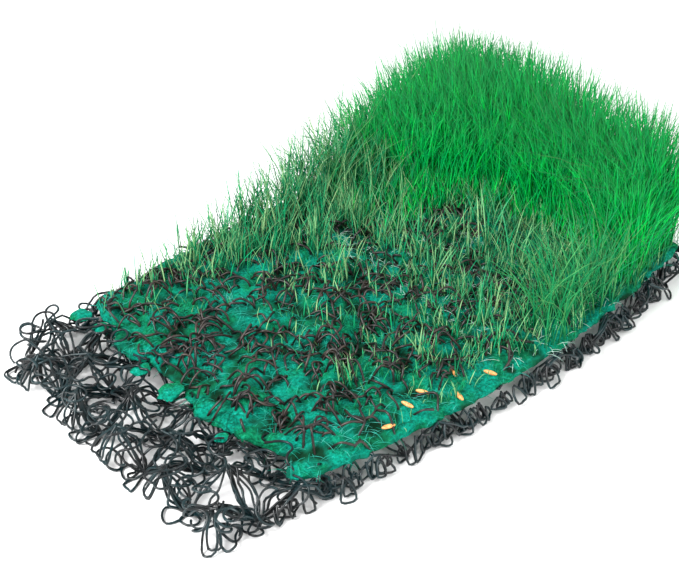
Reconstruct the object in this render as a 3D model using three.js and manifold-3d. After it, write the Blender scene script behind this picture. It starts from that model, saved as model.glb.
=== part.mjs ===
// A cut strip of three-dimensional erosion control mat, laid flat and shown at every stage of use. At its
// front the tangled black filament is bare, then a fibre growth medium caps it, and at the back grass has
// grown through. Lengths are in millimetres. +X runs from the bare front end to the grassed back end, +Y to
// the left-hand edge and +Z up. The origin is at the middle of the underside.

import * as THREE from "three";
import { mergeVertices } from "three/addons/utils/BufferGeometryUtils.js";
import Module from "manifold-3d";

const wasm = await Module();
wasm.setup();

const { lerp, smoothstep } = THREE.MathUtils;

// The strip's outline, which was cut by hand and is widest in its middle
const STRIP_LENGTH = 292;
const FRONT_WIDTH = 146;
const MIDDLE_WIDTH = 178;
const BACK_WIDTH = 156;
const SIDEWAYS_BOW = 5;

// The filament mat
const FILAMENT_DIAMETER = 1.4;
const MAT_THICKNESS = 18;
const MESH_LENGTH = 36; // crest to crest along the strip
const MESH_WIDTH = 40; // crest to crest across the strip
const FILAMENT_WANDER = 3.2;
const EDGE_LOOP_REACH = 8;
const EDGE_LOOP_VARIATION = 2.4;

// The growth medium, a lumpy fibre layer in the top of the mat
const BARE_LENGTH = 36; // bare mat ahead of the medium
const MEDIUM_UNDERSIDE = 11;
const MEDIUM_THICKNESS = 5.5;
const MEDIUM_EDGE_THICKNESS = 2.6;
const MEDIUM_TAPER = 14; // how far in from the edge it reaches full thickness
const MEDIUM_EDGE_INSET = 1.5;
const LUMP_HEIGHT = 1.5;
const LUMP_LENGTH = 55;
const LOBE_DEPTH = 6; // how far the lobes of the front edge reach

// The dense sward at the back end, which reaches further forward along the left-hand edge
const SWARD_LEFT_LENGTH = 82;
const SWARD_RIGHT_LENGTH = 38;
const SWARD_EDGE_INSET = 4;
const SWARD_FRONT_HEIGHT = 36;
const SWARD_BACK_HEIGHT = 66;
const SWARD_DIP = 15; // from the tips of the short blades down to the dips between them
const SWARD_RAGGEDNESS = 4;
const TALL_BLADE_COUNT = 44;
const TALL_BLADE_LENGTH = 80;
const TALL_BLADE_INSET = 12;
const TALL_BLADE_LEAN = 0.18; // how far a tip stands out sideways, as a share of the blade's length

// The seedling tufts between the bare medium and the sward
const TUFT_COUNT = 14;
const TUFT_ZONE_START = 92;
const TUFT_BLADES = 6;
const SHORT_TUFT_HEIGHT = 15;
const TALL_TUFT_HEIGHT = 48;
const TUFT_LEAN = 0.3; // as a tall blade's
const CROWN_DIAMETER = 5;

// A grass blade
const BLADE_WIDTH = 2.2;
const BLADE_THICKNESS = 1.3;

// A seed that lies on the medium
const SEED_LENGTH = 6.5;
const SEED_DIAMETER = 1.8;

// Pieces that touch keep this gap
const SEAT_GAP = 0.3;

// A repeatable number from -1 to 1 for each whole number
function scatter(n) {
  const wave = Math.sin(n * 127.1 + 11.7) * 4375.85;
  return (wave - Math.floor(wave)) * 2 - 1;
}

// The outline: along is 0 at the front edge and 1 at the back, across is 1 at the left edge and -1 at the right
function halfWidthAt(along) {
  const front = FRONT_WIDTH * (1 - along) * (1 - 2 * along);
  const middle = 4 * MIDDLE_WIDTH * along * (1 - along);
  const back = BACK_WIDTH * along * (2 * along - 1);
  return (front + middle + back) / 2;
}

function place(along, across, inset = 0) {
  const middleLine = -4 * SIDEWAYS_BOW * along * (1 - along);
  const reach = halfWidthAt(along) - inset;
  return new THREE.Vector2(along * STRIP_LENGTH, middleLine + across * reach);
}

// Turns a closed three.js geometry into a solid that can be joined and cut
function solidOf(geometry) {
  const bare = geometry.clone();
  bare.deleteAttribute("normal");
  bare.deleteAttribute("uv");
  const merged = mergeVertices(bare, 1e-4);
  return new wasm.Manifold(
    new wasm.Mesh({
      numProp: 3,
      vertProperties: merged.attributes.position.array,
      triVerts: new Uint32Array(merged.index.array),
    }),
  );
}

function geometryOf(solid) {
  const mesh = solid.getMesh();
  const geometry = new THREE.BufferGeometry();
  geometry.setAttribute("position", new THREE.BufferAttribute(mesh.vertProperties, 3));
  geometry.setIndex(new THREE.BufferAttribute(mesh.triVerts, 1));
  geometry.computeVertexNormals();
  return geometry;
}

function join(solids) {
  return solids.reduce((joined, solid) => joined.add(solid));
}

// The medium's front edge swings back and forth in lobes
function mediumFront(across) {
  const lobes = Math.sin(across * 7.5 + 0.6) * 0.6 + Math.sin(across * 17 + 2) * 0.4;
  return BARE_LENGTH + LOBE_DEPTH * (lobes + across * across);
}

// The mat is a net of filaments that are bonded where they cross. It is pushed up into crests and down into
// feet by turns, like an egg box, and at its edges the filaments turn back in loops. Its crests reach the
// mat's full height where it is bare, and the medium's underside where it is capped.
const netRows = Math.round((2 * STRIP_LENGTH) / MESH_LENGTH);
const netColumns = Math.round((2 * MIDDLE_WIDTH) / MESH_WIDTH);
const cappedCrest = MEDIUM_UNDERSIDE - SEAT_GAP - FILAMENT_DIAMETER;
const bareCrest = MAT_THICKNESS - FILAMENT_DIAMETER;
// How far ahead of the medium a bare crest stays, so that the filament from it has dropped under the medium
const crestRun = (MESH_LENGTH / 2) * (1 - cappedCrest / bareCrest) + FILAMENT_WANDER;

// The underside of the net at the knot in a row, from the front, and a column, from the right
function makeKnot(row, column) {
  const seed = row * 31 + column * 7;
  const inside = row > 0 && row < netRows && column > 0 && column < netColumns;
  const wander = inside ? FILAMENT_WANDER : 0;
  const across = (2 * column) / netColumns - 1;
  const spot = place(row / netRows, across);
  const x = spot.x + scatter(seed) * wander;
  const y = spot.y + scatter(seed + 3) * wander;
  const foot = (row + column) % 2 === 1;
  const crest = x < mediumFront(across) - crestRun ? bareCrest : cappedCrest;
  return new THREE.Vector3(x, y, foot ? 0 : crest);
}

// The point half way between two knots, pushed to one side. It is the same from either end.
function midway(one, other) {
  const [from, to] = one.x + one.y < other.x + other.y ? [one, other] : [other, one];
  const side = new THREE.Vector3(from.y - to.y, to.x - from.x, 0).normalize();
  const wander = FILAMENT_WANDER * Math.sin(from.x * 1.7 + to.y * 2.3);
  return from.clone().lerp(to, 0.5).addScaledVector(side, wander);
}

// The loop that stands out beyond the edge between two knots. Each of its points lies a share of the way along
// the edge, and a share of the loop's reach out from it.
const LOOP_SHAPE = [
  [0.14, 0.75],
  [0.5, 1],
  [0.86, 0.75],
];

function edgeLoop(from, to) {
  const outward = new THREE.Vector3(to.y - from.y, from.x - to.x, 0).normalize();
  const reach = EDGE_LOOP_REACH + EDGE_LOOP_VARIATION * Math.sin(from.x * 2.1 + from.y);
  return LOOP_SHAPE.map(([share, bulge]) => from.clone().lerp(to, share).addScaledVector(outward, reach * bulge));
}

// The corners of the opening inside a ring of filament: each point of the ring moved half a filament to its left
function openingCorners(ring) {
  const sharpest = 0.6; // keeps the mitre of a sharp corner short
  return ring.map((point, i) => {
    const before = ring.at(i - 1);
    const after = ring[(i + 1) % ring.length];
    const into = new THREE.Vector3(before.y - point.y, point.x - before.x, 0).normalize();
    const out = new THREE.Vector3(point.y - after.y, after.x - point.x, 0).normalize();
    const mitre = FILAMENT_DIAMETER / 2 / Math.max(1 + into.dot(out), sharpest);
    return point.clone().addScaledVector(into.add(out), mitre);
  });
}

// A stretch of filament or a knot: a prism as thick as the filament on the corners of its underside
function filamentPrism(corners) {
  const shape = new THREE.Shape(corners.map((corner) => new THREE.Vector2(corner.x, corner.y)));
  const prism = new THREE.ExtrudeGeometry(shape, { depth: FILAMENT_DIAMETER, bevelEnabled: false });
  const vertices = prism.attributes.position;
  for (let i = 0; i < vertices.count; i++) {
    const x = vertices.getX(i);
    const y = vertices.getY(i);
    const corner = corners.find((each) => Math.fround(each.x) === x && Math.fround(each.y) === y);
    vertices.setZ(i, vertices.getZ(i) + corner.z);
  }
  return solidOf(prism);
}

function makeFilamentMat() {
  const knots = [];
  for (let row = 0; row <= netRows; row++) {
    knots.push([]);
    for (let column = 0; column <= netColumns; column++) knots[row].push(makeKnot(row, column));
  }
  const rings = [];
  for (let row = 0; row < netRows; row++) {
    for (let column = 0; column < netColumns; column++) {
      const corners = [knots[row][column], knots[row + 1][column]];
      corners.push(knots[row + 1][column + 1], knots[row][column + 1]);
      rings.push(corners.flatMap((corner, i) => [corner, midway(corner, corners[(i + 1) % 4])]));
    }
  }
  // The knots round the edge, in turn: right-hand edge, back, left-hand edge and front
  const rim = [];
  for (let row = 0; row < netRows; row++) rim.push(knots[row][0]);
  for (let column = 0; column < netColumns; column++) rim.push(knots[netRows][column]);
  for (let row = netRows; row > 0; row--) rim.push(knots[row][netColumns]);
  for (let column = netColumns; column > 0; column--) rim.push(knots[0][column]);
  const outline = [];
  rim.forEach((from, i) => {
    const to = rim[(i + 1) % rim.length];
    const loop = edgeLoop(from, to);
    outline.push(from, ...loop);
    rings.push([from, ...loop, to, midway(from, to)]);
  });
  // Run backwards, the outline has the open outside on its left, as each ring has its opening
  rings.push(outline.reverse());

  // Each stretch has a ring on either side of it, and each knot is where more than two rings meet
  const stretches = new Map();
  const meetings = new Map();
  const gather = (groups, name, ...corners) => groups.set(name, [...(groups.get(name) ?? []), ...corners]);
  const nameOf = (point) => `${point.x} ${point.y}`;
  rings.forEach((ring) => {
    const corners = openingCorners(ring);
    ring.forEach((point, i) => {
      const next = (i + 1) % ring.length;
      gather(meetings, nameOf(point), corners[i]);
      gather(stretches, [nameOf(point), nameOf(ring[next])].sort().join(), corners[i], corners[next]);
    });
  });
  const prisms = [...stretches.values()].map(filamentPrism);
  for (const corners of meetings.values()) {
    if (corners.length < 3) continue;
    const middle = corners.reduce((sum, corner) => sum.add(corner), new THREE.Vector3()).divideScalar(corners.length);
    const bearing = (corner) => Math.atan2(corner.y - middle.y, corner.x - middle.x);
    prisms.push(filamentPrism(corners.sort((one, other) => bearing(one) - bearing(other))));
  }
  return join(prisms);
}

// Height of the medium's top, which is lumpy and thins towards the edges
function mediumTop(x, y, fromEdge) {
  const full = smoothstep(fromEdge, 0, MEDIUM_TAPER);
  const turn = (2 * Math.PI) / LUMP_LENGTH;
  const lumps = Math.sin(x * turn) * Math.cos(y * turn * 0.9) + 0.6 * Math.sin((x + 2 * y) * turn * 0.6);
  return MEDIUM_UNDERSIDE + lerp(MEDIUM_EDGE_THICKNESS, MEDIUM_THICKNESS, full) + LUMP_HEIGHT * lumps * full;
}

function makeMedium() {
  const lengthSteps = 28;
  const widthSteps = 18;
  const block = new THREE.BoxGeometry(1, 1, 1, lengthSteps, widthSteps, 1);
  const corners = block.attributes.position;
  const backEdge = STRIP_LENGTH - MEDIUM_EDGE_INSET;
  for (let i = 0; i < corners.count; i++) {
    const across = 2 * corners.getY(i);
    const front = mediumFront(across);
    const x = lerp(front, backEdge, corners.getX(i) + 0.5);
    const spot = place(x / STRIP_LENGTH, across, MEDIUM_EDGE_INSET);
    const fromSide = (1 - Math.abs(across)) * halfWidthAt(x / STRIP_LENGTH);
    const fromEdge = Math.min(fromSide, x - front, backEdge - x);
    corners.setXYZ(i, spot.x, spot.y, corners.getZ(i) > 0 ? mediumTop(spot.x, spot.y, fromEdge) : 0);
  }
  const above = new THREE.BoxGeometry(3 * STRIP_LENGTH, 3 * STRIP_LENGTH, 3 * MAT_THICKNESS);
  above.translate(0, 0, MEDIUM_UNDERSIDE + 1.5 * MAT_THICKNESS);
  return solidOf(block).intersect(solidOf(above));
}

// A grass blade, which is a slim three-sided cone that leans over towards its heading
function blade(root, length, heading, lean) {
  const cone = new THREE.ConeGeometry(0.5, length, 3, 2);
  cone.rotateX(Math.PI / 2).translate(0, 0, length / 2);
  cone.scale(BLADE_WIDTH, BLADE_THICKNESS, 1);
  const corners = cone.attributes.position;
  for (let i = 0; i < corners.count; i++) {
    const risen = Math.max(corners.getZ(i), 0) / length;
    corners.setX(i, corners.getX(i) + lean * length * risen * risen);
  }
  cone.rotateZ(heading).translate(root.x, root.y, root.z);
  return solidOf(cone);
}

// What grows in the medium starts this high, and is then cut back to the medium's top
const rootHeight = MEDIUM_UNDERSIDE + MEDIUM_EDGE_THICKNESS / 2;
const swardBack = STRIP_LENGTH - SWARD_EDGE_INSET;

function swardFront(across) {
  return swardBack - lerp(SWARD_RIGHT_LENGTH, SWARD_LEFT_LENGTH, smoothstep(across, -0.1, 1));
}

// The sward is a dense mass of short blades that rises towards the back, with tall blades arching out of it
function makeSward(ground) {
  const lengthSteps = 10;
  const widthSteps = 24;
  const block = new THREE.BoxGeometry(1, 1, 1, lengthSteps, widthSteps, 1);
  const corners = block.attributes.position;
  for (let i = 0; i < corners.count; i++) {
    const row = Math.round((corners.getX(i) + 0.5) * lengthSteps);
    const column = Math.round((corners.getY(i) + 0.5) * widthSteps);
    const seed = row * 41 + column * 5;
    const across = (2 * column) / widthSteps - 1;
    const x = lerp(swardFront(across) + SWARD_RAGGEDNESS * scatter(column), swardBack, row / lengthSteps);
    const spot = place(x / STRIP_LENGTH, across, SWARD_EDGE_INSET);
    const tips = lerp(SWARD_FRONT_HEIGHT, SWARD_BACK_HEIGHT, smoothstep(row / lengthSteps, 0, 0.6));
    const dip = (row + column) % 2 ? SWARD_DIP : 0;
    const height = corners.getZ(i) > 0 ? tips - dip + SWARD_RAGGEDNESS * scatter(seed) : 0;
    corners.setXYZ(i, spot.x, spot.y, rootHeight + height);
  }
  const parts = [solidOf(block)];
  // The tall blades lean outwards from the middle of the sward, so that none crosses another
  const middle = place((swardFront(0) + swardBack) / 2 / STRIP_LENGTH, 0);
  for (let n = 0; n < TALL_BLADE_COUNT; n++) {
    const across = (2 * (n + 0.5)) / TALL_BLADE_COUNT - 1;
    const foremost = swardFront(across) + 2 * SWARD_RAGGEDNESS;
    const x = lerp(foremost, swardBack - TALL_BLADE_INSET, (n * 0.618) % 1);
    const spot = place(x / STRIP_LENGTH, across, SWARD_EDGE_INSET + TALL_BLADE_INSET);
    const heading = Math.atan2(spot.y - middle.y, spot.x - middle.x);
    const length = lerp(SWARD_BACK_HEIGHT, TALL_BLADE_LENGTH, (scatter(n + 5) + 1) / 2);
    parts.push(blade({ ...spot, z: rootHeight }, length, heading, TALL_BLADE_LEAN * (1 + 0.4 * scatter(n))));
  }
  return join(parts).subtract(ground);
}

// A seedling tuft is a few short blades on one crown, which stands on the medium
function makeTuft(n, ground) {
  const share = ((n * 0.618) % 1 + (n + 0.5) / TUFT_COUNT) / 2;
  const across = 0.86 * (2 * ((n * 0.382 + 0.21) % 1) - 1);
  const x = lerp(TUFT_ZONE_START, swardFront(across) - SWARD_RAGGEDNESS - CROWN_DIAMETER, share);
  const spot = place(x / STRIP_LENGTH, across);
  const root = { ...spot, z: rootHeight };
  const height = lerp(SHORT_TUFT_HEIGHT, TALL_TUFT_HEIGHT, share);
  const crownHeight = 2 * MEDIUM_THICKNESS;
  const crown = new THREE.CylinderGeometry(CROWN_DIAMETER / 3, CROWN_DIAMETER / 2, crownHeight, 6);
  crown.rotateX(Math.PI / 2).translate(root.x, root.y, root.z + crownHeight / 2);
  const parts = [solidOf(crown)];
  for (let b = 0; b < TUFT_BLADES; b++) {
    const heading = (b / TUFT_BLADES) * 2 * Math.PI + scatter(n * 9 + b);
    const length = MEDIUM_THICKNESS + height * (0.82 + 0.18 * scatter(n * 5 + b));
    parts.push(blade(root, length, heading, TUFT_LEAN * (1 + 0.5 * scatter(n + b * 3))));
  }
  return join(parts).subtract(ground);
}

// A seed is a slim spindle that lies on the medium, bedded a little into it
function makeSeed(along, across, heading, ground) {
  const rings = 4;
  const profile = [];
  for (let ring = 0; ring <= rings; ring++) {
    const turn = (ring / rings) * Math.PI;
    const radius = ring % rings ? (SEED_DIAMETER / 2) * Math.sin(turn) : 0;
    profile.push(new THREE.Vector2(radius, (-SEED_LENGTH / 2) * Math.cos(turn)));
  }
  const spot = place(along, across);
  const fromEdge = (1 - Math.abs(across)) * halfWidthAt(along);
  const height = mediumTop(spot.x, spot.y, fromEdge) + SEAT_GAP + SEED_DIAMETER / 3;
  const seed = new THREE.LatheGeometry(profile, 6);
  seed.rotateZ(heading).translate(spot.x, spot.y, height);
  return solidOf(seed).subtract(ground);
}

const filamentLook = new THREE.MeshStandardMaterial({ color: 0x0c2228, roughness: 0.4, metalness: 0 });
const mediumLook = new THREE.MeshStandardMaterial({ color: 0x0b9a78, roughness: 0.95, metalness: 0 });
const grassLook = new THREE.MeshStandardMaterial({ color: 0x0aa64a, roughness: 0.6, metalness: 0 });
const seedlingLook = new THREE.MeshStandardMaterial({ color: 0x4ea050, roughness: 0.6, metalness: 0 });
const seedLook = new THREE.MeshStandardMaterial({ color: 0xe2a060, roughness: 0.55, metalness: 0 });

const strip = new THREE.Group();

function addPiece(name, solid, look) {
  const piece = new THREE.Mesh(geometryOf(solid), look);
  piece.name = name;
  strip.add(piece);
}

const medium = makeMedium();
// What stands on the medium is cut back to this, so that it clears it by the seat gap
const ground = medium.translate(0, 0, SEAT_GAP).add(medium);

addPiece("filament_mat", makeFilamentMat(), filamentLook);
addPiece("growth_medium", medium, mediumLook);
addPiece("grass_sward", makeSward(ground), grassLook);
for (let n = 0; n < TUFT_COUNT; n++) {
  addPiece(`seedling_tuft_${n + 1}`, makeTuft(n, ground), seedlingLook);
}

// Where each seed lies: along the strip, across it, and its heading in radians
const seeds = [
  [0.39, -0.82, 0.5],
  [0.46, -0.8, 2.6],
  [0.5, -0.92, 0.4],
  [0.3, -0.92, 1.2],
  [0.43, -0.94, 2.9],
  [0.35, -0.86, 0.2],
];
seeds.forEach(([along, across, heading], n) => {
  addPiece(`seed_${n + 1}`, makeSeed(along, across, heading, ground), seedLook);
});

// The frame's origin is under the middle of the whole strip
const extent = new THREE.Box3().setFromObject(strip);
const middle = extent.getCenter(new THREE.Vector3());
strip.position.set(-middle.x, -middle.y, -extent.min.z);

export default strip;
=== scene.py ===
import math
import random

import bmesh
import bpy
import numpy as np
from mathutils import Matrix, Vector, noise
from mathutils.bvhtree import BVHTree
from mathutils.kdtree import KDTree


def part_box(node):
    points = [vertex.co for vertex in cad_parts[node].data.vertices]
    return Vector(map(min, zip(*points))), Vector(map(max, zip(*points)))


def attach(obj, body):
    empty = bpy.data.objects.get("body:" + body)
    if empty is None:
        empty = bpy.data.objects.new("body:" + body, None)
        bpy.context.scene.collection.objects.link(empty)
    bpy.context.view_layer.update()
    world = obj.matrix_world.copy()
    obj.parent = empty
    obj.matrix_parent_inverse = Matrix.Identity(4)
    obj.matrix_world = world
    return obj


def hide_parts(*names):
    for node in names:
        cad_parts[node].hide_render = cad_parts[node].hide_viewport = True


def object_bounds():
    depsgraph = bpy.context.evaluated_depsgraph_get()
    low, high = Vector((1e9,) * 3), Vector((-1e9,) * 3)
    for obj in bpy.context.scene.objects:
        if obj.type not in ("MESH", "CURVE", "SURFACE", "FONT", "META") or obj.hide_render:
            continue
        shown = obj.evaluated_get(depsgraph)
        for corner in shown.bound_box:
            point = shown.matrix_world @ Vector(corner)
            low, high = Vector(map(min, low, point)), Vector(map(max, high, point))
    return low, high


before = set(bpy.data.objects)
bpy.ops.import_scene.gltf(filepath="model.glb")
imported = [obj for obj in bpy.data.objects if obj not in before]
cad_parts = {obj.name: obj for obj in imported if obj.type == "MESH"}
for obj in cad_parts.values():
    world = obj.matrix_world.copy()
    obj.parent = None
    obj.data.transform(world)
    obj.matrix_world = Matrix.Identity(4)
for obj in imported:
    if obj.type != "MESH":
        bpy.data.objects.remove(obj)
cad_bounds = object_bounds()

MM = 0.001

# The camera looks down on the strip from beyond its bare front corner, and the studio round it is plain: a
# pale floor, a wide soft key light from the upper left and a weaker fill light from the right.
CAMERA_EYE = Vector((-412.9, -452.7, 475.0)) * MM
CAMERA_TARGET = Vector((9.5, 30.7, 0.0)) * MM
CAMERA_LENS = 84.68
FLOOR_SIZE = 8.0
KEY_PLACE, KEY_SIZE, KEY_POWER = (-0.85, 0.15, 0.85), 0.5, 21.0
FILL_PLACE, FILL_SIZE, FILL_POWER = (0.1, -1.1, 0.7), 0.9, 10.0
SKY_STRENGTH = 1.05

camera = bpy.data.objects.new("camera", bpy.data.cameras.new("camera"))
camera.data.lens = CAMERA_LENS
camera.location = CAMERA_EYE
camera.rotation_euler = (CAMERA_TARGET - CAMERA_EYE).to_track_quat("-Z", "Y").to_euler()
bpy.context.scene.collection.objects.link(camera)
bpy.context.scene.camera = camera
bpy.context.scene.view_settings.view_transform = "Standard"


class Shade:
    """A socket in one material's node tree. Arithmetic on it adds Math nodes to the tree."""

    def __init__(self, tree, socket=None):
        self.tree = tree
        self.socket = socket

    def node(self, kind, inputs=None, output=0, **settings):
        """Adds a node with its settings, joins or sets its inputs, and returns one of its outputs."""
        made = self.tree.nodes.new(kind)
        stops = settings.pop("stops", None)
        for name, value in settings.items():
            setattr(made, name, value)
        if stops:
            ramp = made.color_ramp.elements
            while len(ramp) < len(stops):
                ramp.new(0.5)
            for stop, (place, tone) in zip(ramp, stops):
                stop.position = place
                stop.color = (*tone, 1) if isinstance(tone, tuple) else (tone, tone, tone, 1)
        for name, value in (inputs or {}).items():
            if isinstance(value, Shade):
                self.tree.links.new(value.socket, made.inputs[name])
            else:
                made.inputs[name].default_value = value
        return Shade(self.tree, made.outputs[output])

    def _maths(self, operation, one, other):
        return self.node("ShaderNodeMath", {0: one, 1: other}, operation=operation)

    def __add__(self, other):
        return self._maths("ADD", self, other)

    def __sub__(self, other):
        return self._maths("SUBTRACT", self, other)

    def __mul__(self, other):
        return self._maths("MULTIPLY", self, other)

    def blend(self, one, other):
        """Mixes two colours, with this socket as the share of the second."""
        one, other = [tone if isinstance(tone, Shade) else (*tone, 1) for tone in (one, other)]
        inputs = {"Factor": self, 6: one, 7: other}
        return self.node("ShaderNodeMix", inputs, output=2, data_type="RGBA", clamp_factor=True)

    def ramp(self, *stops):
        """Turns this socket into greys or colours, with each stop as a place and a tone."""
        return self.node("ShaderNodeValToRGB", {"Fac": self}, stops=stops)

    def noise(self, size, detail=3.0, roughness=0.55):
        """Noise in Object coordinates with features of about this size in metres."""
        place = self.node("ShaderNodeTexCoord", output=3)
        inputs = {"Vector": place, "Scale": 1 / size, "Detail": detail, "Roughness": roughness}
        return self.node("ShaderNodeTexNoise", inputs)

    def attribute(self, name):
        """A number that the mesh holds for each of its points."""
        return self.node("ShaderNodeAttribute", attribute_name=name, output=2)


def new_material(name, finish):
    """A material with the values and sockets that finish(shade) returns for its surface."""
    material = bpy.data.materials.new(name)
    material.use_nodes = True
    tree = material.node_tree
    surface = tree.nodes["Principled BSDF"].inputs
    for socket, value in finish(Shade(tree)).items():
        if isinstance(value, Shade):
            tree.links.new(value.socket, surface[socket])
        else:
            surface[socket].default_value = value
    return material


def new_piece(name, mesh, material, slot=None, nodes=()):
    """Puts a finished mesh in the scene as a piece, which rides on the strip when it is given a slot."""
    piece = bpy.data.objects.new(name, mesh)
    bpy.context.scene.collection.objects.link(piece)
    mesh.materials.append(material)
    if slot:
        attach(piece, "root")
    if nodes:
        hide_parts(*nodes)
    return piece


def floor_finish(shade):
    return {"Base Color": (0.9, 0.9, 0.9, 1), "Roughness": 0.9, "Specular IOR Level": 0.1}


floor_sheet = bmesh.new()
bmesh.ops.create_grid(floor_sheet, x_segments=1, y_segments=1, size=FLOOR_SIZE / 2)
floor_mesh = bpy.data.meshes.new("floor")
floor_sheet.to_mesh(floor_mesh)
floor_sheet.free()
floor = new_piece("floor", floor_mesh, new_material("floor_white", floor_finish))


def soft_light(name, place, size, power):
    lamp = bpy.data.lights.new(name, "AREA")
    lamp.energy = power
    lamp.size = size
    light = bpy.data.objects.new(name, lamp)
    light.location = place
    light.rotation_euler = (CAMERA_TARGET - Vector(place)).to_track_quat("-Z", "Y").to_euler()
    bpy.context.scene.collection.objects.link(light)


soft_light("key_light", KEY_PLACE, KEY_SIZE, KEY_POWER)
soft_light("fill_light", FILL_PLACE, FILL_SIZE, FILL_POWER)
world = bpy.data.worlds.new("studio")
world.use_nodes = True
sky = world.node_tree.nodes["Background"].inputs
sky["Color"].default_value = (1, 1, 1, 1)
sky["Strength"].default_value = SKY_STRENGTH
bpy.context.scene.world = world

# The filament mat is extruded from black plastic as an endless tangle of filaments, which are bonded where
# they meet. It was pressed over pegs while soft, so bundles of filament run up to crests and down to feet.
FILAMENT = 1.15 * MM
UNEVENNESS = (0.86, 1.12)  # shares of the filament's thickness
LINK_REACH, MOST_LINKS = 25 * MM, 4  # a filament runs on to one of the nearest knots within this
BUNDLE_BOW, BUNDLE_RISE = 5 * MM, (-1.5 * MM, 2.5 * MM)  # a bundle bows this far to the side and up
BUNDLE_SPREAD = 1.1 * MM  # how far its filaments lie from its middle
LOOSE_BOW, LOOSE_RISE = 8 * MM, (-3 * MM, 4 * MM)
SWAY, LOOSE_SWAY = 0.5 * MM, 1.8 * MM
KNOT_SWAY, LOOSE_KNOT_SWAY = 1.0 * MM, 2.6 * MM
LOOSE_SHARE = 0.4  # of the filaments keep to no bundle
BOW_SHAPE = ((0.28, 0.75), (0.5, 1.0), (0.74, 0.75))  # shares of the way between knots and of the bow
CURL_STEP = 2.5 * MM
MOST_TURN, MOST_CLIMB = 0.6, 0.7  # radians and shares of the step, for each step of a curling filament
TURN_CHANGE, CLIMB_CHANGE = 0.35, 0.3
CURL_LENGTH = (25 * MM, 60 * MM)
STRAY_REACH, HOME_TURN = 9 * MM, 0.8  # this far from the nearest knot it turns back, more sharply
HALF_LOOP = ((0, 0, 0), (0.45, 0.42, 0.5), (0.85, 0.5, 1))  # shares of a loop's reach, width and rise
LOOP_DROP = (0.5, 1.0)  # shares of the way down to the floor
FRONT_BAND = 14 * MM
FRONT_REACH, FRONT_WIDTH = (7 * MM, 16 * MM), (4 * MM, 9 * MM)  # of a loop at the front
TANGLE_STEP = 1.7 * MM
RUNS_PER_KNOT, CURLS_PER_KNOT, LOOPS_PER_KNOT = 5, 3, 2
rng = random.Random(7)

mat_low, mat_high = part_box("filament_mat")
medium_low, medium_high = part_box("growth_medium")
net_corners = [vertex.co.copy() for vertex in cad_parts["filament_mat"].data.vertices]
KNOT_SPREAD = 4 * MM  # corners of the net within this belong to one knot
SEAT_GAP = 0.3 * MM


def knots_at(height):
    """The places of the net's knots whose outer face is at this height."""
    spots = []
    for corner in net_corners:
        if abs(corner.z - height) < 0.02 * MM:
            if all((corner.xy - spot.xy).length > KNOT_SPREAD for spot in spots):
                spots.append(corner)
    return spots


feet = [Vector((spot.x, spot.y, FILAMENT / 2)) for spot in knots_at(0)]
bare_crests = [spot - Vector((0, 0, FILAMENT / 2)) for spot in knots_at(mat_high.z)]
capped_crests = [spot + Vector((0, 0, FILAMENT)) for spot in knots_at(medium_low.z - SEAT_GAP)]
crests = bare_crests + capped_crests
knots = feet + crests


def linked(knot):
    """The knots that filaments run to from this one: the nearest ones at the other height."""
    others = crests if knot.z < FILAMENT else feet
    near = [other for other in others if (other.xy - knot.xy).length < LINK_REACH]
    return sorted(near, key=lambda other: (other.xy - knot.xy).length)[:MOST_LINKS]


def jitter(reach, height=None):
    """A random shift of up to this reach each way, and up to this height."""
    height = reach if height is None else height
    return Vector((rng.uniform(-reach, reach), rng.uniform(-reach, reach), rng.uniform(-height, height)))


def smooth(points, step):
    """A smooth path through the points, with a point about every step along it."""
    points = [2 * points[0] - points[1], *points, 2 * points[-1] - points[-2]]
    path = []
    for before, here, there, after in zip(points, points[1:], points[2:], points[3:]):
        count = max(2, round((there - here).length / step))
        for k in range(count):
            t = k / count
            bend = 2 * before - 5 * here + 4 * there - after
            twist = 3 * here - before - 3 * there + after
            path.append((2 * here + (there - before) * t + bend * t * t + twist * t**3) / 2)
    path.append(points[-2])
    return path


def filament_mesh(name, paths):
    """Round filaments along the paths, six-sided and a little uneven, with their ends closed."""
    curve = bpy.data.curves.new(name, "CURVE")
    curve.dimensions = "3D"
    curve.bevel_depth = FILAMENT / 2
    curve.bevel_resolution = 1
    curve.use_fill_caps = True
    for path in paths:
        spline = curve.splines.new("POLY")
        spline.points.add(len(path) - 1)
        for point, place in zip(spline.points, path):
            point.co = (*place, 1)
            point.radius = rng.uniform(*UNEVENNESS)
    holder = bpy.data.objects.new(name, curve)
    bpy.context.scene.collection.objects.link(holder)
    bpy.context.view_layer.update()
    finished = holder.evaluated_get(bpy.context.evaluated_depsgraph_get())
    mesh = bpy.data.meshes.new_from_object(finished)
    bpy.data.objects.remove(holder)
    bpy.data.curves.remove(curve)
    mesh.materials.clear()
    mesh.shade_smooth()
    return mesh


bundle_bows = {}


def bundle_bow(here, there):
    """How far one of the two bundles between these knots bows to the side and up."""
    ends = tuple(sorted((knots.index(here), knots.index(there))))
    if ends not in bundle_bows:
        bows = [(rng.uniform(-1, 1) * BUNDLE_BOW, rng.uniform(*BUNDLE_RISE)) for _ in range(2)]
        bundle_bows[ends] = bows
    aside, up = rng.choice(bundle_bows[ends])
    return (aside if knots.index(here) == ends[0] else -aside), up


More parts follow.
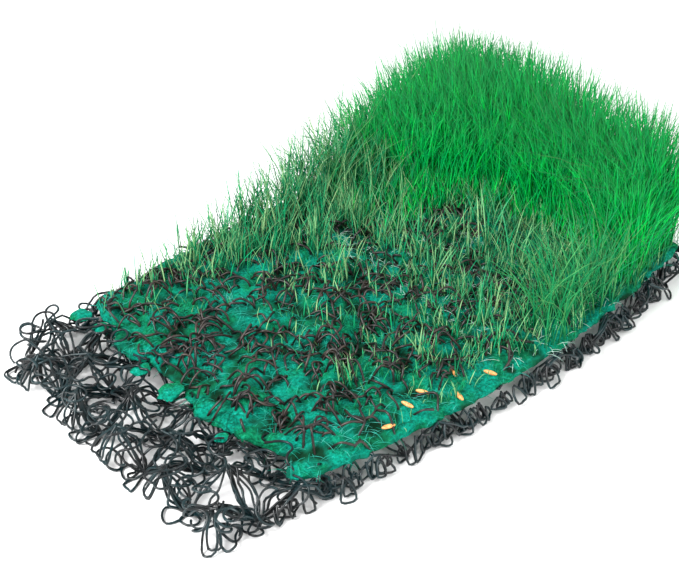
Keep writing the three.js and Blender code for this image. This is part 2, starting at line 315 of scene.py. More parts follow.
def walk(start, steps, ceiling):
    """One filament's run from knot to knot. Most keep to a bundle, and the rest bow out on their own."""
    here, last = start, None
    loose = rng.random() < LOOSE_SHARE
    spread = jitter(BUNDLE_SPREAD)
    sway, knot_sway = (LOOSE_SWAY, LOOSE_KNOT_SWAY) if loose else (SWAY, KNOT_SWAY)
    points = [here + jitter(1.5 * MM)]
    for _ in range(steps):
        choices = [other for other in linked(here) if other is not last]
        if not choices:
            break
        there = rng.choice(choices)
        side = (there - here).cross(Vector((0, 0, 1))).normalized()
        aside, up = bundle_bow(here, there)
        if loose:
            aside, up = rng.uniform(-1, 1) * LOOSE_BOW, rng.uniform(*LOOSE_RISE)
        for share, bulge in BOW_SHAPE:
            point = here.lerp(there, share) + side * aside * bulge + Vector((0, 0, up * bulge))
            points.append(point + spread + jitter(sway))
        points.append(there + jitter(knot_sway))
        here, last = there, here
    for point in points:
        point.z = min(max(point.z, FILAMENT / 2), ceiling)
    return points


knot_tree = KDTree(len(knots))
for n, knot in enumerate(knots):
    knot_tree.insert((knot.x, knot.y, 0), n)
knot_tree.balance()


def curl(start, length, ceiling):
    """A filament that curls through the mat on its own and turns back where the mat ends."""
    place = Vector((start.x, start.y, rng.uniform(FILAMENT, ceiling)))
    heading, turn = rng.uniform(0, 2 * math.pi), rng.uniform(-0.5, 0.5)
    climb = rng.uniform(-0.5, 0.5)
    points = [place.copy()]
    for _ in range(int(length / CURL_STEP)):
        turn = min(max(turn + rng.uniform(-TURN_CHANGE, TURN_CHANGE), -MOST_TURN), MOST_TURN)
        near = knot_tree.find((place.x, place.y, 0))[0]
        if (near.xy - place.xy).length > STRAY_REACH:
            homeward = math.atan2(near.y - place.y, near.x - place.x)
            turn = HOME_TURN if math.sin(homeward - heading) > 0 else -HOME_TURN
        heading += turn
        climb = min(max(climb + rng.uniform(-CLIMB_CHANGE, CLIMB_CHANGE), -MOST_CLIMB), MOST_CLIMB)
        if not FILAMENT < place.z < ceiling:
            climb = -0.5 if place.z > FILAMENT else 0.5
        place += Vector((math.cos(heading), math.sin(heading), climb)) * CURL_STEP
        place.z = min(max(place.z, FILAMENT / 2), ceiling)
        points.append(place.copy())
    return points


def bow_loop(root, heading, reach, width, rise):
    """A teardrop loop of filament that leaves a root, turns back at its reach and returns."""
    out = Vector((math.cos(heading), math.sin(heading), 0))
    side = Vector((-out.y, out.x, 0))
    way_back = [(along, -across, up) for along, across, up in reversed(HALF_LOOP)]
    points = []
    for along, across, up in (*HALF_LOOP, (1.0, 0, 1), *way_back):
        point = root + out * reach * along + side * width * across + Vector((0, 0, rise * up))
        points.append(point + jitter(0.5 * MM))
        points[-1].z = max(points[-1].z, FILAMENT / 2)
    return points


BARE_LIMIT = medium_low.x + 16 * MM
bare_knots = [knot for knot in knots if knot.x < BARE_LIMIT]
tangle = []
bare_top = mat_high.z - FILAMENT / 2
for knot in bare_knots * RUNS_PER_KNOT:
    tangle.append(walk(knot, rng.choice((1, 2, 3)), bare_top))
for knot in bare_knots * CURLS_PER_KNOT:
    tangle.append(curl(knot + jitter(STRAY_REACH), rng.uniform(*CURL_LENGTH), bare_top))

# Where the mat was cut, filaments stand out from its edge in loops, and bend down to what it lies on
front_knots = [knot for knot in knots if knot.x < mat_low.x + FRONT_BAND]
for knot in front_knots * LOOPS_PER_KNOT:
    heading = math.pi + rng.uniform(-1.0, 1.0)
    root = knot + jitter(2 * MM)
    rise = FILAMENT / 2 - root.z * rng.uniform(*LOOP_DROP)
    reach = rng.uniform(*FRONT_REACH)
    tangle.append(bow_loop(root, heading, reach, rng.uniform(*FRONT_WIDTH), rise))


def clamped(points):
    """Points kept inside the mat's box, so that no loop reaches further than the mat does."""
    inset = FILAMENT / 2
    for point in points:
        point.x = min(max(point.x, mat_low.x + inset), mat_high.x - inset)
        point.y = min(max(point.y, mat_low.y + inset), mat_high.y - inset)
    return points


def filament_finish(shade):
    worn = shade.noise(9 * MM, 2).ramp((0.4, 0.0), (0.7, 1.0))
    base = worn.blend((0.001, 0.003, 0.004), (0.003, 0.022, 0.026))
    return {"Base Color": base, "Roughness": 0.3, "Specular IOR Level": 0.4}


filament_black = new_material("filament_black", filament_finish)
bare_paths = [smooth(clamped(points), TANGLE_STEP) for points in tangle if len(points) > 1]
new_piece("bare_filament", filament_mesh("bare_filament", bare_paths), filament_black, "filament")

# Under the growth medium the same filaments go on, at half the height, and carry it. They show along its two
# sides and its back as zigzags and loops that run down to the floor.
EMBEDDED = medium_low.z + 1.5 * MM  # the capped filaments rise a little into the medium
RIM_RUNS, INNER_RUNS = 3, 1  # how many start at a knot near the edge, and at one further in
RIM_LOOPS = 8
SHORT_REACH, LONG_REACH, LONG_SHARE = 4, 8, 0.3  # most loops reach out no more than the short one, in mm
RIM_WIDTH = (3 * MM, 8 * MM)
RIM_SPREAD = 18 * MM  # how far along the edge the loops of a knot lie
RIM_ROOTS = (5 * MM, 11 * MM)  # and at what heights they start
BESIDE, EDGE_GAP = 10 * MM, 6 * MM  # a knot with none beside it past this gap is an edge's
UNDER_STEP = 2.1 * MM
under = []
for knot in [knot for knot in knots if knot.x >= BARE_LIMIT - 12 * MM]:
    near_rim = abs(knot.y) > 0.6 * mat_high.y or knot.x > mat_high.x - 30 * MM
    for _ in range(RIM_RUNS if near_rim else INNER_RUNS):
        under.append(walk(knot, rng.choice((1, 2)), EMBEDDED))


def rim_knots():
    """The knots along the two long edges and the back, with the heading straight out of the edge there."""
    for knot in knots:
        if knot.x < BARE_LIMIT - 10 * MM:
            continue
        beside = [other.y - knot.y for other in knots if abs(other.x - knot.x) < BESIDE]
        if max(beside) < EDGE_GAP:
            yield knot, math.pi / 2
        elif min(beside) > -EDGE_GAP:
            yield knot, -math.pi / 2
        elif knot.x > mat_high.x - 16 * MM:
            yield knot, 0.0


for knot, heading in list(rim_knots()) * RIM_LOOPS:
    along_edge = Vector((-math.sin(heading), math.cos(heading), 0))
    root = Vector((knot.x, knot.y, rng.uniform(*RIM_ROOTS)))
    root += along_edge * rng.uniform(-1, 1) * RIM_SPREAD
    reach = rng.uniform(1.5, LONG_REACH if rng.random() < LONG_SHARE else SHORT_REACH) * MM
    rise = FILAMENT / 2 - root.z * rng.uniform(*LOOP_DROP)
    heading += rng.uniform(-0.7, 0.7)
    under.append(bow_loop(root, heading, reach, rng.uniform(*RIM_WIDTH), rise))
under_paths = [smooth(clamped(points), UNDER_STEP) for points in under if len(points) > 1]
capped_mesh = filament_mesh("capped_filament", under_paths)
new_piece("capped_filament", capped_mesh, filament_black, "filament", ["filament_mat"])

# The growth medium is a felted layer of teal-green fibre, blown on so that it fills the mat's upper half. It
# is lumpy over the crests, sunken between them, and its edges are ragged.
FELT_CUTS = 5  # how finely each edge of the slab is divided
LUMP_SIZE, CLOT_SIZE, GRAIN_SIZE = 11 * MM, 4.5 * MM, 2.2 * MM
CREST_SWELL, LUMP_SWELL, CLOT_SWELL, GRAIN_SWELL = 2.0, 2.0, 1.5, 0.7  # heights, in millimetres
DEEPEST_PIT = -3.2
LOBE_SIZE, WISP_SIZE = 7 * MM, 3 * MM  # of the ragged edge
LOBE_DEPTH, WISP_DEPTH = 2.4, 1.6
RIM_FADE = 4 * MM  # the relief fades out over this height above the medium's underside
CREST_REACH = 13 * MM


def ripple(place, size, seed=0.0):
    """Smooth noise from -1 to 1 with features of this size."""
    return noise.noise(Vector(place) / size + Vector((seed, seed, seed)))


slab = bmesh.new()
slab.from_mesh(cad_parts["growth_medium"].data)
bmesh.ops.remove_doubles(slab, verts=slab.verts, dist=0.001 * MM)
bmesh.ops.subdivide_edges(slab, edges=slab.edges, cuts=FELT_CUTS, use_grid_fill=True)
crest_tree = KDTree(len(capped_crests))
for n, crest in enumerate(capped_crests):
    crest_tree.insert(crest, n)
crest_tree.balance()


def crest_nearness(place):
    """1 on a crest of the mat, falling to 0 half way to the next."""
    crest = crest_tree.find(place)[0]
    return max(0.0, 1 - (place.xy - crest.xy).length / CREST_REACH)


# This number is about 0 on a lump and 1 in a pit, and the felt's finish paints shade into the pits by it.
shade_in_hollows = slab.verts.layers.float.new("shade_in_hollows")
slab.normal_update()
for vertex in slab.verts:
    place = vertex.co.copy()
    upper = max(0.0, min(1.0, (place.z - medium_low.z) / RIM_FADE))
    swell = CREST_SWELL * (crest_nearness(place) - 0.4) + LUMP_SWELL * ripple(place, LUMP_SIZE)
    swell += CLOT_SWELL * ripple(place, CLOT_SIZE, 3)
    vertex[shade_in_hollows] = 0.5 - 0.28 * swell  # about 0 on a lump and 1 in a pit
    grain = GRAIN_SWELL * ripple(place, GRAIN_SIZE, 9)
    vertex.co.z += (max(swell, DEEPEST_PIT) + grain) * upper * MM
    fray = LOBE_DEPTH * ripple(place, LOBE_SIZE, 5) + WISP_DEPTH * ripple(place, WISP_SIZE, 11)
    out = vertex.normal.xy * fray * MM
    vertex.co.x += out.x
    vertex.co.y += out.y
    vertex.co.z = max(vertex.co.z, medium_low.z - 0.5 * MM)
medium_mesh = bpy.data.meshes.new("growth_medium_felt")
slab.to_mesh(medium_mesh)
slab.free()
medium_mesh.shade_smooth()


def felt_finish(shade):
    patches = shade.noise(14 * MM, 3)
    fine = shade.noise(1.3 * MM, 4, 0.7)
    shadow, body = (0.0, 0.07, 0.045), (0.0, 0.20, 0.13)
    lit, frayed = (0.0, 0.28, 0.20), (0.06, 0.50, 0.42)
    teal = fine.ramp((0.32, shadow), (0.48, body), (0.62, lit), (0.75, frayed))
    moss, leaf, light_leaf = (0.0, 0.05, 0.02), (0.0, 0.18, 0.08), (0.02, 0.36, 0.16)
    green = fine.ramp((0.32, moss), (0.55, leaf), (0.75, light_leaf))
    base = patches.ramp((0.45, 0.0), (0.58, 1.0)).blend(teal, green)
    # Painted shade: the hollows, from that number with some fine noise, are blended towards a near-black
    # green.
    painted_pit_shade = (shade.attribute("shade_in_hollows") + (fine - 0.5) * 0.5).ramp((0.58, 0.0), (0.95, 1.0))
    base = painted_pit_shade.blend(base, (0.002, 0.030, 0.013))
    bump = shade.node("ShaderNodeBump", {"Strength": 1.0, "Distance": 0.8 * MM, "Height": fine})
    return {"Base Color": base, "Roughness": 0.95, "Normal": bump, "Specular IOR Level": 0.12}


felt = new_material("medium_felt", felt_finish)
new_piece("growth_medium_felt", medium_mesh, felt, "medium", ["growth_medium"])


def ray_tree(mesh):
    """A tree of the mesh's faces that finds where a ray hits them."""
    corners = [vertex.co.copy() for vertex in mesh.vertices]
    return BVHTree.FromPolygons(corners, [tuple(face.vertices) for face in mesh.polygons])


medium_tree = ray_tree(medium_mesh)


def on_medium(x, y):
    """The point of the medium's top at x and y, or None beside it."""
    return medium_tree.ray_cast(Vector((x, y, 1)), Vector((0, 0, -1)))[0]


# A few loose flecks of the same fibre have come away from the medium's front edge. They lie flat, caught on
# the filaments of the bare mat just ahead of it. Each is given by its place across the strip, how far it lies
# ahead of the edge, and its radius, in millimetres.
FLECKS = ((74, 9, 4.2), (60, 5, 3.4), (23, 8, 3.8), (2, 6, 5.0), (-37, 7, 3.0))
FLATNESS = (1.2, 1, 0.35)
FLECK_SINK = 2 * MM  # a fleck's middle lies this far under the tops of the filaments
for n, (across, ahead, size) in enumerate(FLECKS):
    nearby = [vertex.co.x for vertex in medium_mesh.vertices if abs(vertex.co.y - across * MM) < 3 * MM]
    middle = (min(nearby) - ahead * MM, across * MM, bare_top - FLECK_SINK)
    fleck = bmesh.new()
    bmesh.ops.create_icosphere(fleck, subdivisions=3, radius=size * MM)
    for vertex in fleck.verts:
        vertex.co *= 1 + 0.5 * ripple(vertex.co, 4 * MM, n)
    bmesh.ops.scale(fleck, verts=fleck.verts, vec=FLATNESS)
    bmesh.ops.translate(fleck, verts=fleck.verts, vec=middle)
    fleck_mesh = bpy.data.meshes.new(f"medium_fleck_{n}")
    fleck.to_mesh(fleck_mesh)
    fleck.free()
    # The felt's finish reads this number for its painted shade. On a fleck it stays at 0, so a fleck has
    # none.
    fleck_mesh.attributes.new("shade_in_hollows", "FLOAT", "POINT")
    new_piece(f"medium_fleck_{n}", fleck_mesh, felt, "medium")


# The mat's crests stand out of the medium as arched legs and hoops of the same near-black filament, that
# dive back into it. Their lighter brown patches, laid at random, are painted highlights. They are bonded to
# the rest of the mat below. Further back the grass hides them.
def brown_highlight_finish(shade):
    # The worn mask here lays painted highlights: lighter brown patches at random over the near-black
    # filament.
    worn = shade.noise(5 * MM, 3).ramp((0.45, 0.0), (0.75, 1.0))
    base = worn.blend((0.003, 0.002, 0.002), (0.040, 0.024, 0.016))
    return {"Base Color": base, "Roughness": 0.42}


filament_brown_highlights = new_material("filament_brown_highlights", brown_highlight_finish)
LEGS_END = medium_low.x + 200 * MM
CLEAR_SKIRT = 15 * MM  # the band along the right-hand edge that the filament stays under
CREST_SPREAD = 5 * MM  # about how far from its crest a group of legs stands
GROUPS_PER_CREST = 2
LEG_ANGLE = 1.6  # radians between neighbouring legs
BURIED = 2.5 * MM  # how deep a leg ends in the medium
LEG_REACH, LEG_RISE = (5 * MM, 13 * MM), (0, 2.5 * MM)
CREST_LIFT = (1.5 * MM, 5 * MM)  # how far above the medium the legs leave their crest
PATCH_SIZE = 15 * MM  # the hoops stand in patches of about this size
HOOP_COUNT = 700
HOOP_REACH, HOOP_RISE = (5 * MM, 16 * MM), (0.15, 0.5)  # the rise is a share of the reach
# Shares of a hoop's reach, of its bow to the side and of its rise, or how many millimetres an end is buried
HOOP_SHAPE = ((0, 0, -2.5), (0.12, 0.3, 0.5), (0.5, 1, 1), (0.85, 0.45, 0.45), (1, 0, -2.5))


def arch(start, heading, reach, rise):
    """A leg that leaves a crest level, arches over and dives into the medium."""
    out = Vector((math.cos(heading), math.sin(heading), 0))
    side = Vector((-out.y, out.x, 0)) * rng.uniform(-0.25, 0.25) * reach
    landing = on_medium(*(start + out * reach).xy)
    if landing is None:
        return None
    middle = start.lerp(landing, 0.5) + side
    middle.z = max(start.z, landing.z) + rise
    low = landing + out * 1.5 * MM - Vector((0, 0, BURIED))
    return [start + jitter(0.5 * MM), middle, landing + side * 0.5, low]


def hoop(ground, heading, reach, rise):
    """A bent length of filament that comes up out of the medium and dives back into it."""
    out = Vector((math.cos(heading), math.sin(heading), 0))
    side = Vector((-out.y, out.x, 0)) * rng.uniform(-0.55, 0.55) * reach
    points = []
    for share, aside, up in HOOP_SHAPE:
        point = ground + out * reach * share + side * aside
        below = on_medium(point.x, point.y)
        if below is None:
            return None
        point.z = below.z + (rise * up if up > 0 else up * MM)
        points.append(point + jitter(0.4 * MM, 0))
    return points


legs = []
for crest in capped_crests:
    if crest.x > LEGS_END:
        continue
    for _ in range(GROUPS_PER_CREST):
        x = crest.x + rng.gauss(0, 1) * CREST_SPREAD
        top = on_medium(x, crest.y + rng.gauss(0, 1) * CREST_SPREAD)
        if top is None:
            continue
        top = top + Vector((0, 0, rng.uniform(*CREST_LIFT)))
        turn = rng.uniform(0, 2 * math.pi)
        for leg in range(rng.choice((2, 3, 4))):
            heading = turn + leg * LEG_ANGLE + rng.uniform(-0.6, 0.6)
            points = arch(top, heading, rng.uniform(*LEG_REACH), rng.uniform(*LEG_RISE))
            if points:
                legs.append(smooth(points, TANGLE_STEP))
hoops = 0
while hoops < HOOP_COUNT:
    x = rng.uniform(medium_low.x, LEGS_END)
    ground = on_medium(x, rng.uniform(medium_low.y, medium_high.y))
    if ground is None or ripple(ground, PATCH_SIZE, 21) < -0.12 + rng.uniform(-0.1, 0.1):
        continue
    if on_medium(ground.x, ground.y - CLEAR_SKIRT) is None:
        continue
    reach = rng.uniform(*HOOP_REACH)
    points = hoop(ground, rng.uniform(0, 2 * math.pi), reach, rng.uniform(*HOOP_RISE) * reach)
    if points:
        legs.append(smooth(points, TANGLE_STEP))
        hoops += 1
new_piece("crest_filament", filament_mesh("crest_filament", legs), filament_brown_highlights, "filament")


# Loose fibres of the medium lie over its surface and bridge its hollows, and some are bleached pale. A fibre
# is a slim three-sided spindle, as a blade of grass is too. One straight spindle is shaped, and bent_copies
# bends copies of it along circular arcs and joins them in one mesh.
BASE_END, TAPER_START = 0.3, 0.55  # a spindle is full width between these shares of its length
TAPER = 1.3
LEAST_BEND = 0.001


def spindle(rings, base_width, tip_width):
    """The corners (across, thickness, share of length) and faces of a straight spindle."""
    shape = bmesh.new()
    bmesh.ops.create_cone(shape, cap_ends=True, cap_tris=False, segments=3, radius1=0.5, radius2=0.5, depth=1)
    bmesh.ops.translate(shape, verts=shape.verts, vec=(0, 0, 0.5))
    for ring in range(1, rings):
        cut = (0, 0, ring / rings)
        whole = shape.verts[:] + shape.edges[:] + shape.faces[:]
        bmesh.ops.bisect_plane(shape, geom=whole, plane_co=cut, plane_no=(0, 0, 1))
    for vertex in shape.verts:
        along = vertex.co.z
        width = base_width + (1 - base_width) * min(1.0, along / BASE_END)
        if along > TAPER_START:
            width = 1 + (tip_width - 1) * ((along - TAPER_START) / (1 - TAPER_START)) ** TAPER
        vertex.co.x *= width
        vertex.co.y *= width
    shape.verts.index_update()
    corners = np.array([vertex.co[:] for vertex in shape.verts])
    faces = [[vertex.index for vertex in face.verts] for face in shape.faces]
    shape.free()
    return corners, faces


def bent_copies(name, form, rows):
    """One mesh of bent copies. Each row is root x, y, z, length, width, thickness, heading, lean at the root,
    lean at the tip, twist and tint."""
    corners, faces = form
    rows = np.array(rows)
    root = rows[:, 0:3]
    length, width, thickness, heading, lean, end_lean, twist, tint = [rows[:, n, None] for n in range(3, 11)]
    along = corners[None, :, 2]
    bend = end_lean - lean
    bend = np.where(np.abs(bend) < LEAST_BEND, LEAST_BEND, bend)
    angle = lean + bend * along
    out = length * (np.cos(lean) - np.cos(angle)) / bend
    up = length * (np.sin(angle) - np.sin(lean)) / bend
    turn = twist * along
    across = corners[None, :, 0] * width
    deep = corners[None, :, 1] * thickness
    sideways = across * np.cos(turn) - deep * np.sin(turn)
    inward = across * np.sin(turn) + deep * np.cos(turn)
    out = out + inward * np.cos(angle)
    up = up - inward * np.sin(angle)
    x = root[:, 0:1] + out * np.cos(heading) + sideways * np.sin(heading)
    y = root[:, 1:2] + out * np.sin(heading) - sideways * np.cos(heading)
    z = root[:, 2:3] + up
    vertices = np.stack([x, y, z], axis=2).reshape(-1, 3)
    count = corners.shape[0]
    polygons = [[corner + n * count for corner in face] for n in range(len(rows)) for face in faces]
    mesh = bpy.data.meshes.new(name)
    mesh.from_pydata(vertices.tolist(), [], polygons)
    for label, numbers in (("tint", tint), ("rise", along)):
        numbers = np.broadcast_to(numbers, x.shape).ravel().astype(np.float32)
        mesh.attributes.new(label, "FLOAT", "POINT").data.foreach_set("value", numbers)
    mesh.shade_smooth()
    return mesh


def fibre_finish(shade):
    tint = shade.attribute("tint")
    deep, body = (0.0, 0.06, 0.03), (0.0, 0.26, 0.17)
    worn, bleached = (0.04, 0.42, 0.34), (0.5, 0.72, 0.64)
    base = tint.ramp((0.0, deep), (0.4, body), (0.85, worn), (1.0, bleached))
    return {"Base Color": base, "Roughness": 0.8, "Specular IOR Level": 0.15}


fibre_form = spindle(rings=3, base_width=0.6, tip_width=0.5)
FIBRE, FIBRE_LENGTH = 0.24 * MM, (4 * MM, 11 * MM)
FIBRE_LEAN, FIBRE_BEND = (0.7, 1.2), (0.9, 1.6)  # radians, so that most fibres come back down
FIBRE_COUNT = 5800
FIBRE_SINK = 0.3 * MM
PALE_PATCH = 20 * MM
PALE_MIDDLE = 45 * MM  # in a band across the strip round here, many fibres are bleached
PALE_REACH, PALE_SHARE = 38 * MM, 0.5
MOST_WORN = 0.86  # tint 1 is bleached, and the other fibres range up to this
fibre_rows = []
while len(fibre_rows) < FIBRE_COUNT:
    x = rng.uniform(medium_low.x, medium_high.x)
    y = rng.uniform(medium_low.y, medium_high.y)
    ground = on_medium(x, y)
    if ground is None:
        continue
    pale = min(0.4 + 0.9 * ripple((x, y, 0), PALE_PATCH, 2) + rng.uniform(-0.35, 0.35), MOST_WORN)
    if abs(x - PALE_MIDDLE) < PALE_REACH and rng.random() < PALE_SHARE:
        pale = 1
    lean = rng.uniform(*FIBRE_LEAN)
    length = rng.uniform(*FIBRE_LENGTH)
    heading = rng.uniform(0, 2 * math.pi)
    end_lean = lean + rng.uniform(*FIBRE_BEND)
    pale = min(max(pale, 0), 1)
    root_z = ground.z - FIBRE_SINK
    fibre_rows.append((x, y, root_z, length, FIBRE, FIBRE, heading, lean, end_lean, 0, pale))
fibre_mesh = bent_copies("medium_fibres", fibre_form, fibre_rows)
new_piece("medium_fibres", fibre_mesh, new_material("medium_fibre", fibre_finish), "medium")


# Grass seeds lie loose on the medium near its right-hand edge, as they fell when they were sown. Each is a
# dry husk, about three times as long as it is thick, tan with rusty and straw-coloured spots.
def husk_finish(shade):
    spots = shade.noise(1.5 * MM, 2)
    rust, tan, straw = (0.62, 0.20, 0.05), (0.85, 0.42, 0.14), (0.95, 0.70, 0.40)
    base = spots.ramp((0.3, rust), (0.6, tan), (0.8, straw))
    return {"Base Color": base, "Roughness": 0.5}


husk = new_material("seed_husk", husk_finish)
HUSK_RADII = (3.3 * MM, 1.05 * MM, 0.95 * MM)
HUSK_LIFT = 0.6 * MM  # a husk's middle lies this far above the felt
seed_count = sum(node.startswith("seed_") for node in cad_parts)
for n in range(1, seed_count + 1):
    low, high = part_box(f"seed_{n}")
    middle = (low + high) / 2
    corners = [vertex.co.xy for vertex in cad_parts[f"seed_{n}"].data.vertices]
    far = max(corners, key=lambda corner: (corner - middle.xy).length)
    heading = math.atan2(far.y - middle.y, far.x - middle.x)
    ground = on_medium(middle.x, middle.y) or low
    grain = bmesh.new()
    bmesh.ops.create_uvsphere(grain, u_segments=16, v_segments=12, radius=1)
    bmesh.ops.scale(grain, verts=grain.verts, vec=HUSK_RADII)
    bmesh.ops.rotate(grain, verts=grain.verts, matrix=Matrix.Rotation(heading, 3, "Z"))
    spot = (middle.x, middle.y, max(ground.z, low.z) + HUSK_LIFT)
    bmesh.ops.translate(grain, verts=grain.verts, vec=spot)
    grain_mesh = bpy.data.meshes.new(f"seed_husk_{n}")
    grain.to_mesh(grain_mesh)
    grain.free()
    grain_mesh.shade_smooth()
    new_piece(f"seed_husk_{n}", grain_mesh, husk, "seed", [f"seed_{n}"])


# Seedlings are young grass, rooted in the medium. They come up through it one by one and in tufts, and stand
# taller and thicker towards the sward and along the left-hand edge.
def blade_finish(dark, fresh, bright, tip):
    """A finish for blades that range from dark to bright, with dark roots and tips of their own colour."""

    def finish(shade):
        tint = shade.attribute("tint")
        rise = shade.attribute("rise")
        base = tint.ramp((0.0, dark), (0.5, fresh), (1.0, bright))
        base = (rise.ramp((0.0, 1.0), (0.3, 0.0)) * 0.35).blend(base, dark)
        base = rise.ramp((0.75, 0.0), (1.0, 1.0)).blend(base, tip)
        return {"Base Color": base, "Roughness": 0.65, "Specular IOR Level": 0.12}

    return finish


young_blade = blade_finish(
    dark=(0.01, 0.09, 0.04), fresh=(0.005, 0.36, 0.14), bright=(0.34, 0.58, 0.26), tip=(0.10, 0.20, 0.09)
)
seedling_green = new_material("seedling_green", young_blade)
blade_form = spindle(rings=4, base_width=0.7, tip_width=0.06)
ROOT_DEPTH = 1 * MM
BLADE_WIDTH, BLADE_THICKNESS = (0.6 * MM, 1.05 * MM), 0.3 * MM
MOST_TWIST = 0.8
TUFT_BLADES = 22
TUFT_SPREAD = 2.6 * MM
TIP_LIMIT = 93.5 * MM  # no blade rises higher
REACH_LIMIT = 1.02  # blades turn so that their tips stay within about this share of the strip's half sides
HEADING_TRIES = 12


def blade_row(x, y, z, length, lean, droop, tint, breadth=1.0):
    """A blade for bent_copies, headed any way that keeps its tip over the strip."""
    length = min(length, TIP_LIMIT - z)
    widest_x, widest_y = [REACH_LIMIT * side for side in cad_bounds[1][:2]]
    for _ in range(HEADING_TRIES):
        heading = rng.uniform(0, 2 * math.pi)
        reach = length * math.sin(min(lean + droop / 2, math.pi / 2))
        tip_x = x + reach * math.cos(heading)
        tip_y = y + reach * math.sin(heading)
        if abs(tip_x) < widest_x and abs(tip_y) < widest_y:
            break
    width = breadth * rng.uniform(*BLADE_WIDTH)
    twist = rng.uniform(-MOST_TWIST, MOST_TWIST)
    return (x, y, z, length, width, BLADE_THICKNESS, heading, lean, lean + droop, twist, tint)


tuft_count = sum(node.startswith("seedling_tuft_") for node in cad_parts)
for n in range(1, tuft_count + 1):
    low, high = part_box(f"seedling_tuft_{n}")
    middle = (low + high) / 2
    height = high.z - low.z
    rows = []
    for _ in range(TUFT_BLADES):
        x = middle.x + rng.gauss(0, 1) * TUFT_SPREAD
        y = middle.y + rng.gauss(0, 1) * TUFT_SPREAD
        ground = on_medium(x, y)
        if ground is None:
            continue
        length = height * rng.uniform(0.4, 1.0)
        lean, droop = rng.uniform(0, 0.3), rng.uniform(0.1, 0.7)
        rows.append(blade_row(x, y, ground.z - ROOT_DEPTH, length, lean, droop, rng.random()))
    mesh = bent_copies(f"tuft_blades_{n}", blade_form, rows)
    new_piece(f"tuft_blades_{n}", mesh, seedling_green, "seedling", [f"seedling_tuft_{n}"])

sward_low, sward_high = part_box("grass_sward")
sward_tree = ray_tree(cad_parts["grass_sward"].data)
SPROUTS_START = medium_low.x + 40 * MM
SEEDLING_COUNT = 4300
SEEDLING_BREADTH = 0.75
PATCHINESS = 13 * MM  # the seedlings grow in patches of about this size
INNER_HEIGHT, INNER_GAIN, INNER_DENSITY = 7 * MM, 9 * MM, 0.32
LEFT_HEIGHT, LEFT_GAIN, LEFT_DENSITY = 14 * MM, 34 * MM, 0.5
RIGHT_DENSITY = 0.05


def sward_height(x, y):
    """How high the sward's CAD solid stands at x and y, or None beside it."""
    hit = sward_tree.ray_cast(Vector((x, y, 1)), Vector((0, 0, -1)))[0]
    return hit.z if hit else None


def seedling_growth(x, y):
    """The density from 0 to 1 and the height of the seedlings at a place, which both gain towards the sward
    and the left-hand edge."""
    aged = (x - SPROUTS_START) / (sward_low.x - SPROUTS_START)
    leftness = max(0.0, min(1.0, (y / medium_high.y - 0.35) / 0.5))
    rightness = max(0.0, min(1.0, (-y / medium_high.y - 0.3) / 0.5))
    inner = INNER_HEIGHT + INNER_GAIN * max(aged, 0)
    left = LEFT_HEIGHT + LEFT_GAIN * max(aged + 0.1, 0)
    density = (INNER_DENSITY + RIGHT_DENSITY * rightness) * aged
    density += LEFT_DENSITY * leftness * (aged + 0.45)
    return density, inner * (1 - leftness) + left * leftness


rows = []
while len(rows) < SEEDLING_COUNT:
    x = rng.uniform(medium_low.x + 6 * MM, sward_high.x - 20 * MM)
    y = rng.uniform(medium_low.y + 3 * MM, medium_high.y - 2 * MM)
    density, height = seedling_growth(x, y)
    if rng.random() > density * (0.6 + 1.3 * ripple((x, y, 0), PATCHINESS, 4)):
        continue
    ground = on_medium(x, y)
    if ground is None or sward_height(x, y):
        continue
    length = height * rng.uniform(0.5, 1.25)
    lean, droop = rng.uniform(0, 0.3), rng.uniform(0.1, 0.8)
    rows.append(blade_row(x, y, ground.z - ROOT_DEPTH, length, lean, droop, rng.random(), SEEDLING_BREADTH))
seedling_mesh = bent_copies("scattered_seedlings", blade_form, rows)
new_piece("scattered_seedlings", seedling_mesh, seedling_green, "seedling")

# The sward is full-grown grass, rooted through the medium and so dense that it hides it. It stands low at its
# front, rises to its full height at the back, and thins out into the seedlings ahead of it.
grown_blade = blade_finish(
    dark=(0.0, 0.34, 0.09), fresh=(0.0, 0.52, 0.11), bright=(0.0, 0.78, 0.09), tip=(0.02, 0.13, 0.04)
)
sward_green = new_material("sward_green", grown_blade)
SWARD_COUNT = 10500
SWARD_RISE = 40 * MM  # the grass reaches its full height this far in from the sward's front
RISE_STEPS = 8
FRONT_STAND, LEFT_STAND, FULL_STAND = 42 * MM, 63 * MM, 79 * MM
TINT_PATCH = 12 * MM
FRINGE = 22 * MM  # the stretch ahead of the sward over which it thins out
FRINGE_COUNT = 2300
FULL_FRINGE_FROM = 25 * MM  # the fringe reaches furthest to the left of here


def sward_stand(x, y):
    """How long the blades are at a place in the sward: longest at its back, and shorter at its left."""
    steps = range(RISE_STEPS)
    inside = sum(1 for step in steps if sward_height(x - step * SWARD_RISE / RISE_STEPS, y)) / RISE_STEPS
    leftness = max(0.0, y / sward_high.y)
    full = FULL_STAND + (LEFT_STAND - FULL_STAND) * leftness
    return FRONT_STAND + (full - FRONT_STAND) * inside**0.7


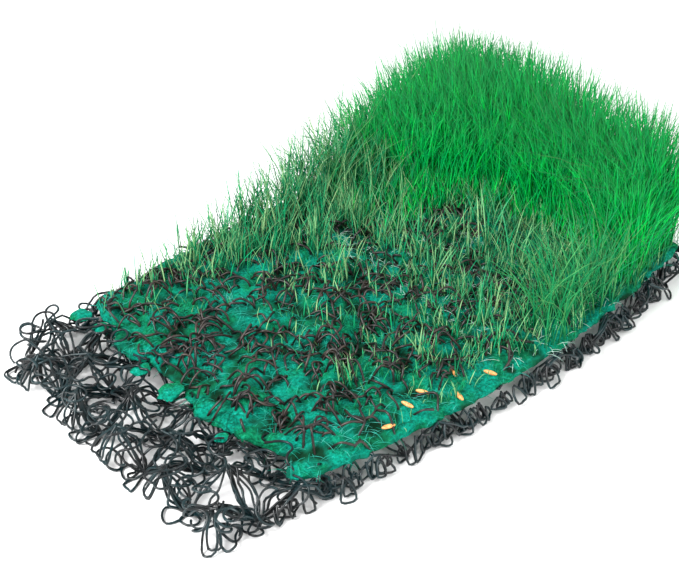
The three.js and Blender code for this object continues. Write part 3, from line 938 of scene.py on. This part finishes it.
# Every other blade goes in the second piece, because one piece of them all would be too large
patches = {"sward_front": [], "sward_back": []}
blades = 0
while blades < SWARD_COUNT:
    x = rng.uniform(sward_low.x, sward_high.x)
    y = rng.uniform(sward_low.y, sward_high.y)
    top = sward_height(x, y)
    ground = on_medium(x, y)
    if top is None or ground is None:
        continue
    length = sward_stand(x, y) * rng.uniform(0.8, 1.06)
    tint = 0.45 + 0.3 * ripple((x, y, 0), TINT_PATCH, 6) + rng.gauss(0, 0.3)
    tint = min(max(tint, 0), 1)
    lean, droop = rng.uniform(0, 0.2), rng.uniform(0.05, 0.8)
    row = blade_row(x, y, ground.z - ROOT_DEPTH, length, lean, droop, tint)
    patches["sward_front" if blades % 2 else "sward_back"].append(row)
    blades += 1
fringe = []
while len(fringe) < FRINGE_COUNT:
    x = rng.uniform(sward_low.x - 1.5 * FRINGE, sward_high.x)
    y = rng.uniform(sward_low.y, sward_high.y)
    ahead = abs(rng.gauss(0, 0.4)) * FRINGE * (2.2 if y > FULL_FRINGE_FROM else 0.6)
    ground = on_medium(x, y)
    top = sward_height(x + ahead, y)
    if ground is None or sward_height(x, y) or top is None:
        continue
    length = (top - ground.z) * rng.uniform(0.4, 1.0) * (1 - 0.4 * min(ahead / FRINGE, 1))
    lean, droop = rng.uniform(0, 0.2), rng.uniform(0.05, 0.6)
    fringe.append(blade_row(x, y, ground.z - ROOT_DEPTH, length, lean, droop, rng.random()))
patches["sward_fringe"] = fringe
for name, rows in patches.items():
    nodes = ["grass_sward"] if name == "sward_front" else []
    new_piece(name, bent_copies(name, blade_form, rows), sward_green, "grass", nodes)

# The oldest blades are long, thin and dull, and dry towards their tips. They root in the medium along the
# sward's back and sides and a little ahead of it, and arch over above the rest of the grass.
old_blade = blade_finish(
    dark=(0.0, 0.22, 0.07), fresh=(0.02, 0.28, 0.09), bright=(0.10, 0.36, 0.11), tip=(0.03, 0.035, 0.02)
)
old_green = new_material("old_blade_olive", old_blade)
ARCHING_COUNT, OLD_BREADTH = 1250, 0.8
LEFT_BAND, BACK_BAND, RIGHT_BAND = 24 * MM, 30 * MM, 10 * MM
AHEAD_BAND = 30 * MM  # they start this far ahead of the sward
LONE_RISE = 42 * MM  # how high they stand there
arching = []
while len(arching) < ARCHING_COUNT:
    x = rng.uniform(sward_low.x - AHEAD_BAND, sward_high.x)
    y = rng.uniform(medium_low.y, medium_high.y)
    near_side = y > sward_high.y - LEFT_BAND or y < sward_low.y + RIGHT_BAND
    near_edge = near_side or x > sward_high.x - BACK_BAND
    ground = on_medium(x, y)
    if ground is None or not near_edge:
        continue
    top = sward_height(x, y) or ground.z + LONE_RISE
    length = (top - ground.z) * rng.uniform(1.0, 1.45)
    lean, droop = rng.uniform(0, 0.2), rng.uniform(0.4, 1.5)
    arching.append(blade_row(x, y, ground.z - ROOT_DEPTH, length, lean, droop, rng.random(), OLD_BREADTH))
old_form = spindle(rings=5, base_width=0.7, tip_width=0.05)
arching_mesh = bent_copies("arching_blades", old_form, arching)
new_piece("arching_blades", arching_mesh, old_green, "grass")
